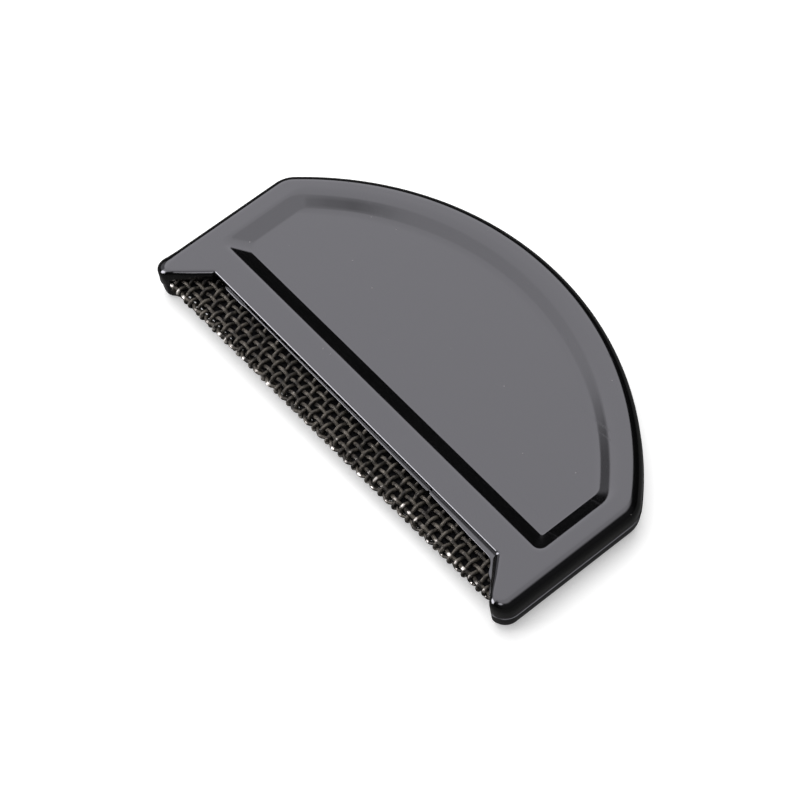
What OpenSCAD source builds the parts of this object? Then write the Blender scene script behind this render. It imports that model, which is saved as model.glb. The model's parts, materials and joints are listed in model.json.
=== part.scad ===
// Sweater comb: a half-moon handle of two moulded shells that holds a folded
// strip of woven wire mesh between two ears.
// Millimetres. X runs along the mesh, Y from the mesh to the round back, Z up.
// The origin is the middle of the footprint, on the surface that the comb lies on.

/* [Handle] */
// Length along the mesh
comb_length = 88; // [84:1:92]
// Depth from the ear tips to the round back
comb_depth = 47; // [45:0.5:50]
// Thickness over both shells
comb_thickness = 6.8; // [6.6:0.1:8]
// Radius of the round back
back_radius = 58.2; // [55:0.1:62]
// Radius of the two back corners
back_corner = 5; // [4.6:0.1:5.6]
// Radius of the outer corner of each ear tip
tip_corner = 2.8; // [2.4:0.1:3.2]
// Radius of the rounded rim of each shell
rim_round = 2; // [1.6:0.1:2.2]
// Thickness of the side walls
wall = 1.3; // [1:0.1:1.5]
// Thickness of the broad faces
roof = 1.2; // [1:0.05:1.3]
// Open seam between the two shells
seam_gap = 0.1; // [0.05:0.05:0.2]
// How far the lower shell stands back from the upper one at the seam
seam_step = 0.2; // [0:0.05:0.4]

/* [Notch and ears] */
// Depth of the notch from the ear tips to its back wall
notch_depth = 6.5; // [6:0.1:7]
// Width of the notch at its back wall, on the face
notch_width = 71.8; // [68:0.2:73]
// Slant of the inner side of each ear, away from the Y axis
ear_slant = 40; // [36:1:42]
// Lean of the inner side of each ear below the face
ear_lean = 20; // [10:1:24]

/* [Thumb recess] */
// Depth of the recess in each face
recess_depth = 1.4; // [1:0.1:1.5]
// Width of its sloping border
recess_slope = 2.75; // [2.2:0.05:2.9]
// Plain rim left at each side of the recess
recess_side_rim = 4.25; // [4:0.05:5]
// Plain rim left behind the recess
recess_back_rim = 4.1; // [3.8:0.1:5]
// Plain band left between the notch and the recess
recess_front_band = 4.5; // [4.3:0.1:5.5]
// Radius of the back corners of the recess
recess_corner = 5; // [4:0.1:6]
// Radius of the front corners of the recess
recess_front_corner = 3; // [3:0.1:4]

/* [Mesh] */
// Wire diameter
wire_d = 0.5; // [0.4:0.02:0.52]
// Distance between the wires that run round the fold
warp_pitch = 1.62; // [1.5:0.01:1.65]
// Number of wires that run round the fold
warp_count = 50; // [46:1:50]
// Distance between the wires that run along the fold
weft_pitch = 1.6; // [1.5:0.01:1.7]
// Wires that run along the fold on each side of its middle one
weft_rows = 5; // [4:1:5]
// Wire left past the last crossing
wire_end = 0.4; // [0.3:0.05:0.5]
// Gap between two wires where they cross
cross_gap = 0.07; // [0.06:0.01:0.1]
// Thickness of the mesh over both layers of the fold
fold_thickness = 2.8; // [2.7:0.05:2.9]
// How far the fold stands back from the ear tips
fold_setback = 0.6; // [0.4:0.1:1]

/* [Clamp frames and core] */
// Thickness of each clamp frame
frame_thickness = 0.45; // [0.35:0.05:0.5]
// Lip of the frame that shows in front of the notch wall
frame_lip = 0.5; // [0.3:0.05:0.7]
// Depth of the frame's back bar under the face
frame_bar = 3.3; // [2.8:0.1:3.3]
// Clear width between the frame's side and its seat
frame_play = 0.8; // [0.7:0.05:1]
// Radius of the inner corners of the frame's window
window_corner = 2.2; // [1.5:0.1:3]
// Angle by which the frames sit askew in their seats
frame_turn = 0.45; // [0:0.05:0.5]
// Distance by which the frames sit to the left in their seats
frame_shift = 0.6; // [0:0.05:0.6]
// Depth of the core plate inside the fold
core_depth = 12; // [10:0.5:13]
// Clearance between the mesh, the core, the frames and their seats
fit_gap = 0.05; // [0.03:0.01:0.08]

/* [Locating posts] */
// Diameter of the posts on the lower shell
post_d = 2.4; // [2:0.1:3]
// Wall of the sockets on the upper shell
socket_wall = 1; // [0.8:0.1:1.5]
// Distance from the middle to the front posts
front_post_x = 29; // [26:1:31]
// Distance from the middle to the back posts
back_post_x = 18; // [12:1:20]
// Distance between the front and the back posts
post_row = 13; // [10:0.5:14]

/* [Hidden] */
$fn = 128;
// Distance by which a cut passes the surface that it opens
past = 0.3;
// Number of sides of a wire's section
wire_sides = 6;
// Straight steps in the recess's back border and in each rounded corner
back_steps = 10;
corner_steps = 4;
plastic = [0.05, 0.05, 0.055];
dark_plastic = [0.03, 0.03, 0.03];
metal = [0.3, 0.28, 0.25];

half_length = comb_length / 2;
front_y = -comb_depth / 2;
back_centre_y = comb_depth / 2 - back_radius;
mid_z = comb_thickness / 2;
notch_y = front_y + notch_depth;
recess_front_y = notch_y + recess_front_band;
// Lowest level of the face side inside the recess, and of the roof under it
recess_floor_z = comb_thickness - recess_depth;
roof_under_recess_z = recess_floor_z - roof;

// Mesh: each layer is two wires and their crossing gap thick
crimp = (wire_d + cross_gap) / 2;
layer_thickness = wire_d + 2 * crimp;
fold_radius = (fold_thickness - layer_thickness) / 2;
fold_y = front_y + fold_setback + fold_thickness / 2;
quarter_fold = fold_radius * PI / 2;
mesh_half_width = (warp_count - 1) / 2 * warp_pitch + wire_end;
mesh_back_y = fold_y + weft_rows * weft_pitch + wire_end - quarter_fold;
core_thickness = fold_thickness - 2 * layer_thickness - 2 * fit_gap;

// Frames and their seats
slot_half_width = mesh_half_width + 6 * fit_gap;
slot_top_z = mid_z + fold_thickness / 2 + fit_gap;
frame_z = slot_top_z;
seat_top_z = frame_z + frame_thickness + fit_gap;
lean_run = (comb_thickness - seat_top_z) * tan(ear_lean);
frame_half_width = slot_half_width - fit_gap;
seat_half_width = frame_half_width + frame_play;
frame_back_y = notch_y + frame_bar;
turn_reach = seat_half_width * sin(frame_turn) + 2 * fit_gap;
seat_back_y = frame_back_y + turn_reach;
frame_front_y = fold_y - 2 * fit_gap;
seat_front_y = frame_front_y - turn_reach;

// Points of a round arc, from one angle to another
function arc_points(centre, radius, from, to, steps) = [
    for (i = [0:steps])
        let (a = from + (to - from) * i / steps)
        centre + radius * [cos(a), sin(a)]
];

// Corners of a half moon on its right side: centre, radius and the angles that
// the corner's arc runs between, for the front corner and then the back one
function half_moon_corners(half, radius, corner, front, front_corner) =
    let (
        corner_x = half - corner,
        reach = radius - corner,
        rise = sqrt(reach * reach - corner_x * corner_x)
    )
    [
        [[half - front_corner, front + front_corner], front_corner, -90, 0],
        [[corner_x, back_centre_y + rise], corner, 0, atan2(rise, corner_x)]
    ];

// A list of points and its mirror image on the left side, as one outline
function both_sides(points) = concat(points, [
    for (i = [len(points) - 1:-1:0])
        if (points[i][0] > 0) [-points[i][0], points[i][1]]
]);

// Outline of a half moon: the front corner, the back corner and half the back
function half_moon(half, radius, corner, front, front_corner) =
    let (corners = half_moon_corners(half, radius, corner, front, front_corner))
    both_sides(concat(
        [for (c = corners) each arc_points(c[0], c[1], c[2], c[3], corner_steps)],
        [for (i = [1:back_steps])
            let (a = corners[1][3] + (90 - corners[1][3]) * i / back_steps)
            [radius * cos(a) * (i < back_steps ? 1 : 0), back_centre_y + radius * sin(a)]]
    ));

// Section of a shell out to its rim, whose top edge is rounded
module rim_section(from, rim, low_z) {
    round_z = comb_thickness - rim_round;
    difference() {
        translate([from, low_z])
            square([rim - from, comb_thickness - low_z]);
        difference() {
            translate([rim - rim_round, round_z])
                square(rim_round + past);
            translate([rim - rim_round, round_z])
                circle(rim_round);
        }
    }
}

// Half of the handle's width, with the rounded rim of a straight side
module side_form(inset, low_z) {
    translate([0, comb_depth, 0])
        rotate([90, 0, 0])
            linear_extrude(2 * comb_depth)
                rim_section(-comb_length, half_length - inset, low_z);
}

// Outline that rounds the corners of the handle and is clear of it elsewhere
module corner_outline(inset) {
    corners = half_moon_corners(half_length - inset, back_radius - inset, back_corner - inset,
                                front_y + inset, tip_corner - inset);
    tip = corners[0];
    back = corners[1];
    clear_x = half_length + past;
    radial = [cos(back[3]), sin(back[3])];
    back_end = back[0] + (back[1] + past) * radial;
    polygon(both_sides(concat(
        [[tip[0][0], front_y - past]],
        arc_points(tip[0], tip[1], tip[2], tip[3], corner_steps),
        [[clear_x, tip[0][1]], [clear_x, back[0][1]]],
        arc_points(back[0], back[1], back[2], back[3], corner_steps),
        [back_end, [back_end[0], comb_depth]]
    )));
}

// Outer form of a shell, drawn in by the given distance
module outer_form(inset, low_z) {
    intersection() {
        translate([0, back_centre_y, 0])
            rotate_extrude()
                rim_section(0, back_radius - inset, low_z);
        side_form(inset, low_z);
        mirror([1, 0, 0])
            side_form(inset, low_z);
        translate([comb_length, 0, 0])
            rotate([90, 0, -90])
                linear_extrude(2 * comb_length)
                    rim_section(-comb_depth, -front_y - inset, low_z);
        linear_extrude(comb_thickness + past)
            corner_outline(inset);
    }
}

// The recess as a solid, grown by the given distance and open upwards
module recess_form(grow) {
    rise = past * recess_depth / recess_slope;
    module level(spread) {
        polygon(half_moon(half_length - recess_side_rim + spread, back_radius - recess_back_rim + spread,
                          recess_corner + spread, recess_front_y - spread, recess_front_corner + spread));
    }
    hull() {
        translate([0, 0, recess_floor_z])
            linear_extrude(past / 10)
                level(grow - recess_slope);
        translate([0, 0, comb_thickness + rise])
            linear_extrude(past / 10)
                level(grow + past);
    }
}

// The notch between the ears, whose sides lean in below the face
module notch_form() {
    reach = notch_depth + past;
    spread = reach * tan(ear_slant);
    module opening(half_back) {
        polygon([
            [-half_back, notch_y],
            [half_back, notch_y],
            [half_back + spread, notch_y - reach],
            [-half_back - spread, notch_y - reach]
        ]);
    }
    lean_shift = lean_run / cos(ear_slant);
    hull() {
        translate([0, 0, comb_thickness])
            linear_extrude(past)
                opening(notch_width / 2);
        translate([0, 0, seat_top_z])
            linear_extrude(past / 10)
                opening(notch_width / 2 - lean_shift);
    }
    translate([0, 0, mid_z - past])
        linear_extrude(comb_thickness - mid_z)
            opening(notch_width / 2 - lean_shift);
}

// Room inside the shell, behind the frame seat and round the recess
module cavity_form() {
    difference() {
        translate([0, 0, mid_z - past])
            linear_extrude(comb_thickness - roof - mid_z + past)
                intersection() {
                    translate([0, back_centre_y])
                        circle(back_radius - wall - seam_step);
                    translate([-half_length + wall + seam_step, seat_back_y - past])
                        square([2 * (half_length - wall - seam_step), comb_depth]);
                }
        translate([0, 0, -roof])
            recess_form(wall);
    }
}

// Seat of the mesh fold and of the clamp frame
module seat_form() {
    translate([-slot_half_width, front_y - past, mid_z - past])
        cube([2 * slot_half_width, mesh_back_y - front_y + 2 * past, slot_top_z - mid_z + past]);
    translate([-seat_half_width, seat_front_y, mid_z - past])
        cube([2 * seat_half_width, seat_back_y - seat_front_y, seat_top_z - mid_z + past]);
}

// Places of the four locating posts
module at_posts() {
    front_post_y = recess_front_y + recess_slope + 3;
    for (side = [-1, 1]) {
        translate([side * front_post_x, front_post_y, 0])
            children();
        translate([side * back_post_x, front_post_y + post_row, 0])
            children();
    }
}

// Rib under the recess that the back of the core plate lies on
module core_rib() {
    rib_length = notch_width - 2 * recess_slope;
    rib_width = 1.2;
    rib_y = recess_front_y + recess_slope - rib_width;
    rib_z = mid_z + core_thickness / 2 + fit_gap;
    translate([-rib_length / 2, rib_y, rib_z])
        cube([rib_length, rib_width, roof_under_recess_z + roof / 2 - rib_z]);
}

// One shell without its posts or sockets, drawn in by the given distance
module shell_form(inset) {
    difference() {
        outer_form(inset, mid_z + seam_gap / 2);
        recess_form(0);
        notch_form();
        cavity_form();
        seat_form();
    }
    core_rib();
}

module upper_shell() {
    socket_d = post_d + 2 * fit_gap;
    socket_low_z = comb_thickness - roof_under_recess_z + 4 * fit_gap;
    color(plastic) {
        difference() {
            union() {
                shell_form(0);
                at_posts()
                    translate([0, 0, socket_low_z])
                        cylinder(d = socket_d + 2 * socket_wall, h = roof_under_recess_z + roof / 2 - socket_low_z);
            }
            at_posts()
                translate([0, 0, socket_low_z - past])
                    cylinder(d = socket_d, h = roof_under_recess_z - socket_low_z + past);
        }
    }
}

module lower_shell() {
    post_top_z = roof_under_recess_z - 2 * fit_gap;
    post_low_z = comb_thickness - roof_under_recess_z - roof / 2;
    color(plastic) {
        translate([0, 0, comb_thickness])
            mirror([0, 0, 1])
                shell_form(seam_step);
        at_posts()
            translate([0, 0, post_low_z])
                cylinder(d = post_d, h = post_top_z - post_low_z);
    }
}

// Clamp frame in its own plane: a back bar and two arms that follow the ears
module frame_outline() {
    lip_y = notch_y - frame_lip;
    lean_shift = lean_run / cos(ear_slant);
    edge_x = notch_width / 2 - lean_shift + frame_lip * tan(ear_slant);
    arm_y = frame_front_y - past;
    arm_x = edge_x + (lip_y - arm_y) * tan(ear_slant);
    // Angle from the bar to an arm, and the distance from their corner to the arc
    open_angle = 90 + ear_slant;
    tangent = window_corner / tan(open_angle / 2);
    corner_centre = [edge_x - tangent, lip_y - window_corner];
    corner = arc_points(corner_centre, window_corner, 90, ear_slant, 8);
    window = concat(corner, [[arm_x, arm_y], [-arm_x, arm_y]], [
        for (i = [len(corner) - 1:-1:0])
            [-corner[i][0], corner[i][1]]
    ]);
    difference() {
        translate([-frame_half_width, frame_front_y])
            square([2 * frame_half_width, frame_back_y - frame_front_y]);
        polygon(window);
    }
}

module placed_frame() {
    frame_mid_y = (frame_front_y + frame_back_y) / 2;
    translate([-frame_shift, frame_mid_y, frame_z])
        rotate([0, 0, -frame_turn])
            translate([0, -frame_mid_y, 0])
                linear_extrude(frame_thickness)
                    frame_outline();
}

module upper_clamp_frame() {
    color(dark_plastic)
        placed_frame();
}

module lower_clamp_frame() {
    color(dark_plastic)
        translate([0, 0, comb_thickness])
            mirror([0, 0, 1])
                placed_frame();
}

module mesh_core() {
    nose = core_thickness / 2;
    color(dark_plastic)
        translate([-mesh_half_width, fold_y, mid_z])
            rotate([90, 0, 90])
                linear_extrude(2 * mesh_half_width) {
                    circle(nose);
                    translate([0, -nose])
                        square([core_depth, core_thickness]);
                }
}

// A point of the folded mesh: x along the fold, s round it from its front,
// and out from the middle of the layer
function folded(x, s, out) =
    let (
        reach = fold_radius + out,
        side = s < 0 ? -1 : 1,
        bend = min(abs(s), quarter_fold) / fold_radius * 180 / PI
    )
    [
        x,
        fold_y - reach * cos(bend) + max(abs(s) - quarter_fold, 0),
        mid_z + side * reach * sin(bend)
    ];

// 1 where the warp wire lies outside the weft wire, -1 where it lies inside
function over(warp, weft) = (warp + weft) % 2 == 0 ? 1 : -1;

function warp_x(warp) = (warp - (warp_count - 1) / 2) * warp_pitch;

// Place of a wire's station past its crossing: the last one carries the wire's end
function end_reach(index, last) = index == 0 ? -wire_end : index == last ? wire_end : 0;

// A tube through rings of points, closed at both ends
module wire(rings) {
    sides = len(rings[0]);
    last = len(rings) - 1;
    walls = [
        for (r = [0:last - 1], k = [0:sides - 1])
            let (
                a = r * sides + k,
                b = r * sides + (k + 1) % sides
            )
            each [[a, b, a + sides], [b, b + sides, a + sides]]
    ];
    caps = [
        for (k = [1:sides - 2])
            each [[0, k + 1, k], [last * sides, last * sides + k, last * sides + k + 1]]
    ];
    polyhedron([for (ring = rings) each ring], concat(walls, caps));
}

// Stations of a warp wire: its crossings, and the two shoulders of the fold
function warp_stations(warp) = concat(
    [for (row = [-weft_rows:-1]) [row * weft_pitch + end_reach(row + weft_rows, -1), over(warp, row + 100)]],
    [[-quarter_fold / 2, 0], [0, over(warp, 100)], [quarter_fold / 2, 0]],
    [for (row = [1:weft_rows]) [row * weft_pitch - end_reach(weft_rows - row, -1), over(warp, row + 100)]]
);

module warp_wire(warp) {
    wire([
        for (station = warp_stations(warp)) [
            for (k = [0:wire_sides - 1])
                let (a = k * 360 / wire_sides)
                folded(warp_x(warp) + wire_d / 2 * cos(a), station[0],
                       crimp * station[1] + wire_d / 2 * sin(a))
        ]
    ]);
}

module weft_wire(row) {
    wire([
        for (warp = [0:warp_count - 1]) [
            for (k = [0:wire_sides - 1])
                let (a = -k * 360 / wire_sides)
                folded(warp_x(warp) + end_reach(warp, warp_count - 1), row * weft_pitch + wire_d / 2 * cos(a),
                       -crimp * over(warp, row + 100) + wire_d / 2 * sin(a))
        ]
    ]);
}

module mesh_warp_wires() {
    color(metal)
        for (warp = [0:warp_count - 1])
            warp_wire(warp);
}

module mesh_weft_wires() {
    color(metal)
        for (row = [-weft_rows:weft_rows])
            weft_wire(row);
}

upper_shell();
lower_shell();
upper_clamp_frame();
lower_clamp_frame();
mesh_core();
mesh_warp_wires();
mesh_weft_wires();
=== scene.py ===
"""A sweater comb: two glossy black half-moon shells that grip a folded strip of woven wire mesh.

Lengths in the classes are in millimetres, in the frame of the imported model: X along the mesh edge,
Y towards the round back, Z up through the thickness.
"""

import json
import logging
import math
from dataclasses import dataclass, field
from enum import Enum

import bmesh
import bpy
import numpy as np
from mathutils import Matrix, Vector

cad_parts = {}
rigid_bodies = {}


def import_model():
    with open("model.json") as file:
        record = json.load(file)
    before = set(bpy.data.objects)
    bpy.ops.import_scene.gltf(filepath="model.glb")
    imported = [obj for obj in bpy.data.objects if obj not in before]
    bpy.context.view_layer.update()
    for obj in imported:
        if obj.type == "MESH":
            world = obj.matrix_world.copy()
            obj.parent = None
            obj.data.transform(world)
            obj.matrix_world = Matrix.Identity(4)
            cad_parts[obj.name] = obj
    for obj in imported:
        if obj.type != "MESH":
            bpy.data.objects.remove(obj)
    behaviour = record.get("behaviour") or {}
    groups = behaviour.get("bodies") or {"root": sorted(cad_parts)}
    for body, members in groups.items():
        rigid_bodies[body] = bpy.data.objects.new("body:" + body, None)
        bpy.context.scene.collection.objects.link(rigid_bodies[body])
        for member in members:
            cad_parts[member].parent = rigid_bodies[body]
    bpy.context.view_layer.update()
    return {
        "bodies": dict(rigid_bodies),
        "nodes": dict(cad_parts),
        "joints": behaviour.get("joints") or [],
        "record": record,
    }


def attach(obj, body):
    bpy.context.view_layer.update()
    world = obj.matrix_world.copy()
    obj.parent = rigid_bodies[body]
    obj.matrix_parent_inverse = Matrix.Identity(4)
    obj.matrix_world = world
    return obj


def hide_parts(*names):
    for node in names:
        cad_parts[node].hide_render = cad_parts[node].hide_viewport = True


MM = 0.001
log = logging.getLogger("sweater_comb")

Obj = bpy.types.Object
Tree = bpy.types.NodeTree
Socket = bpy.types.NodeSocket
Pair = tuple[float, float]
Triple = tuple[float, float, float]
Four = tuple[float, float, float, float]


class Side(Enum):
    """Which half of the handle a piece belongs to."""

    UPPER = 1
    LOWER = -1


class Run(Enum):
    """The direction in which a set of wires runs through the weave."""

    WARP = "round the fold"
    WEFT = "along the fold"


# Helpers for outlines and meshes


def smooth_step(start: float, end: float, count: int) -> np.ndarray:
    """A number of values that leave start and reach end gently."""
    t = np.linspace(0.0, 1.0, count)
    return start + (end - start) * t * t * (3.0 - 2.0 * t)


def arc(centre: Pair, radius: float, start: float, end: float, count: int) -> np.ndarray:
    """Rows of x and y along a round arc, from one angle in degrees to another, both counted."""
    angle = np.radians(np.linspace(start, end, count))
    return np.column_stack([centre[0] + radius * np.cos(angle), centre[1] + radius * np.sin(angle)])


def rays(start: float, end: float, count: int) -> np.ndarray:
    """Unit directions from one angle in degrees to another, both counted."""
    return arc((0.0, 0.0), 1.0, start, end, count)


def line(start: Pair, end: Pair, count: int) -> np.ndarray:
    """Evenly spaced rows of x and y from start to end, both counted."""
    return np.column_stack([np.linspace(a, b, count) for a, b in zip(start, end)])


def joined(runs: list[np.ndarray]) -> np.ndarray:
    """Runs of rows one after another, where each starts with the last row of the one before."""
    return np.concatenate([run[:-1] for run in runs[:-1]] + [runs[-1]])


def mirrored(half: np.ndarray) -> np.ndarray:
    """The way back along the left side for rows or numbers of the right side, without the two ends."""
    return half[-2:0:-1] * (np.array([-1.0, 1.0]) if half.ndim == 2 else 1.0)


def new_object(name: str, points: object = (), faces: object = ()) -> Obj:
    """Links a new mesh to the scene as an object at the origin.

    Args:
        name: the object's name.
        points: the mesh's points in metres.
        faces: its faces.

    Returns:
        The new object.
    """
    mesh = bpy.data.meshes.new(name)
    mesh.from_pydata(points, [], faces)
    obj = bpy.data.objects.new(name, mesh)
    bpy.context.scene.collection.objects.link(obj)
    return obj


def from_form(name: str, form: bmesh.types.BMesh) -> Obj:
    """Turns a form into an object, and frees it.

    Args:
        name: the object's name.
        form: the form.

    Returns:
        The new object.
    """
    obj = new_object(name)
    form.to_mesh(obj.data)
    form.free()
    return obj


def square(name: str, half: float, height: float) -> Obj:
    """A flat square that faces up, by half its side and its level in metres."""
    corners = ((-half, -half), (half, -half), (half, half), (-half, half))
    return new_object(name, [(x, y, height) for x, y in corners], [(0, 1, 2, 3)])


def shade_smooth(obj: Obj, sharp_degrees: float) -> None:
    """Shades a piece smooth, with sharp edges where its faces meet at more than an angle.

    Args:
        obj: the piece.
        sharp_degrees: the least angle of a sharp edge.
    """
    mesh = obj.data
    mesh.polygons.foreach_set("use_smooth", np.ones(len(mesh.polygons), bool))
    mesh.set_sharp_from_angle(angle=math.radians(sharp_degrees))
    mesh.update()


def settle(obj: Obj) -> None:
    """Turns what a piece's modifiers make into its own plain mesh, and removes them.

    Args:
        obj: the piece.
    """
    bpy.context.view_layer.update()
    graph = bpy.context.evaluated_depsgraph_get()
    whole = obj.evaluated_get(graph)
    made = bpy.data.meshes.new_from_object(whole, preserve_all_data_layers=True, depsgraph=graph)
    obj.modifiers.clear()
    old = obj.data
    obj.data = made
    bpy.data.meshes.remove(old)


def carve(obj: Obj, cutter: Obj) -> None:
    """Takes the room of one closed piece out of another, and removes the cutter.

    Args:
        obj: the piece that is cut.
        cutter: the closed form that cuts it.
    """
    cut = obj.modifiers.new("cut", "BOOLEAN")
    cut.operation = "DIFFERENCE"
    cut.solver = "EXACT"
    cut.object = cutter
    settle(obj)
    tool = cutter.data
    bpy.data.objects.remove(cutter)
    bpy.data.meshes.remove(tool)


def prism(name: str, outline: np.ndarray, low: float, high: float) -> Obj:
    """A straight block over an outline, used to cut.

    Args:
        name: the object's name.
        outline: its points in millimetres, as rows of x and y against the clock.
        low: lowest level in millimetres.
        high: highest level in millimetres.

    Returns:
        The closed block.
    """
    count = len(outline)
    points = [(x * MM, y * MM, z * MM) for z in (low, high) for x, y in outline]
    sides = [(i, (i + 1) % count, count + (i + 1) % count, count + i) for i in range(count)]
    return new_object(name, points, [list(range(count))[::-1], list(range(count, 2 * count)), *sides])


def block(name: str, half: float, front: float, back: float, low: float, high: float) -> Obj:
    """A box that is even about the comb's middle, used to cut."""
    corners = np.array([(-half, front), (half, front), (half, back), (-half, back)])
    return prism(name, corners, low, high)


def dress(obj: Obj, material: bpy.types.Material, node: str) -> Obj:
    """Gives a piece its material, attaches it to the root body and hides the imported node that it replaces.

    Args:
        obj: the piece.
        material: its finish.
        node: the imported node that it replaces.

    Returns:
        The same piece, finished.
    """
    obj.data.materials.clear()
    obj.data.materials.append(material)
    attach(obj, "root")
    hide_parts(node)
    return obj


# Helpers for node trees


class Term:
    """A value or socket in a node tree, so that sums are written as in plain code."""

    def __init__(self, tree: Tree, value: Socket | float) -> None:
        """Keeps the tree and the socket or value."""
        self.tree, self.value = tree, value

    def calc(
        self, operation: str, *others: object, kind: str = "ShaderNodeMath", output: int | str = 0
    ) -> "Term":
        """One math node of this term and others.

        Args:
            operation: the node's operation.
            others: the other inputs.
            kind: the node's type.
            output: which of its outputs is taken.

        Returns:
            The node's result.
        """
        node = self.tree.nodes.new(kind)
        node.operation = operation
        for index, item in enumerate((self, *others)):
            plug(self.tree, item, node.inputs[index])
        return Term(self.tree, node.outputs[output])

    def __add__(self, other: "Term | float") -> "Term":
        """This term plus another."""
        return self.calc("ADD", other)

    def __sub__(self, other: "Term | float") -> "Term":
        """This term less another."""
        return self.calc("SUBTRACT", other)

    def __mul__(self, other: "Term | float") -> "Term":
        """This term times another."""
        return self.calc("MULTIPLY", other)

    def __truediv__(self, other: "Term | float") -> "Term":
        """This term over another."""
        return self.calc("DIVIDE", other)


def plug(tree: Tree, source: object, target: Socket) -> None:
    """Links a socket to an input, or sets the input to a plain value.

    Args:
        tree: the tree that holds the nodes.
        source: a term, a socket or a value.
        target: the input.
    """
    value = source.value if isinstance(source, Term) else source
    if isinstance(value, Socket):
        tree.links.new(value, target)
    else:
        target.default_value = value


def add_node(tree: Tree, kind: str, settings: dict | None = None, **inputs: object) -> bpy.types.Node:
    """Adds a node with its settings and inputs.

    Args:
        tree: the tree that takes the node.
        kind: the node's type.
        settings: its properties.
        inputs: terms, sockets or values by input name, with spaces written as underscores.

    Returns:
        The new node.
    """
    node = tree.nodes.new(kind)
    for name, value in (settings or {}).items():
        setattr(node, name, value)
    for name, value in inputs.items():
        plug(tree, value, node.inputs[name.replace("_", " ")])
    return node


def end_tree(tree: Tree, kind: str, output: str, **inputs: object) -> None:
    """Ends a tree with one glowing shader, of a type and with inputs as for add_node."""
    glow = add_node(tree, kind, **inputs)
    tree.links.new(glow.outputs[0], tree.nodes.new(output).inputs["Surface"])


def noise(place: Term, scale: float, detail: float, **more: float) -> Term:
    """The value of a noise texture at a place."""
    node = add_node(place.tree, "ShaderNodeTexNoise", Vector=place, Scale=scale, Detail=detail, **more)
    return Term(place.tree, node.outputs["Fac"])


def share_of_way(value: Term, start: float, end: float) -> Term:
    """How far a value is from start to end, kept between zero and one."""
    node = add_node(value.tree, "ShaderNodeMapRange", Value=value, From_Min=start, From_Max=end)
    return Term(value.tree, node.outputs[0])


def bump(height: Term, depth: float, strength: float, **more: object) -> Term:
    """A normal bent by a height, whose depth is in millimetres."""
    more |= {"Height": height, "Distance": depth * MM, "Strength": strength}
    return Term(height.tree, add_node(height.tree, "ShaderNodeBump", **more).outputs[0])


def mix_colours(share: Term, first: object, second: object) -> Term:
    """A mix of two colours.

    Args:
        share: zero for the first, one for the second.
        first: a colour or a term.
        second: another.

    Returns:
        The mix.
    """
    node = add_node(share.tree, "ShaderNodeMix", {"data_type": "RGBA"}, Factor=share)
    for index, colour in ((6, first), (7, second)):
        plug(share.tree, (*colour, 1.0) if isinstance(colour, tuple) else colour, node.inputs[index])
    return Term(share.tree, node.outputs[2])


def coordinates(tree: Tree) -> Term:
    """The object's own coordinates."""
    return Term(tree, add_node(tree, "ShaderNodeTexCoord").outputs["Object"])


def new_material(name: str, **values: object) -> tuple[bpy.types.Material, bpy.types.Node]:
    """Starts a material.

    Args:
        name: the material's name.
        values: its shader's plain inputs by name, with spaces written as underscores.

    Returns:
        The material and its shader.
    """
    material = bpy.data.materials.new(name)
    material.use_nodes = True
    shader = material.node_tree.nodes["Principled BSDF"]
    for key, value in values.items():
        shader.inputs[key.replace("_", " ")].default_value = value
    return material, shader


# Finishes


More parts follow.
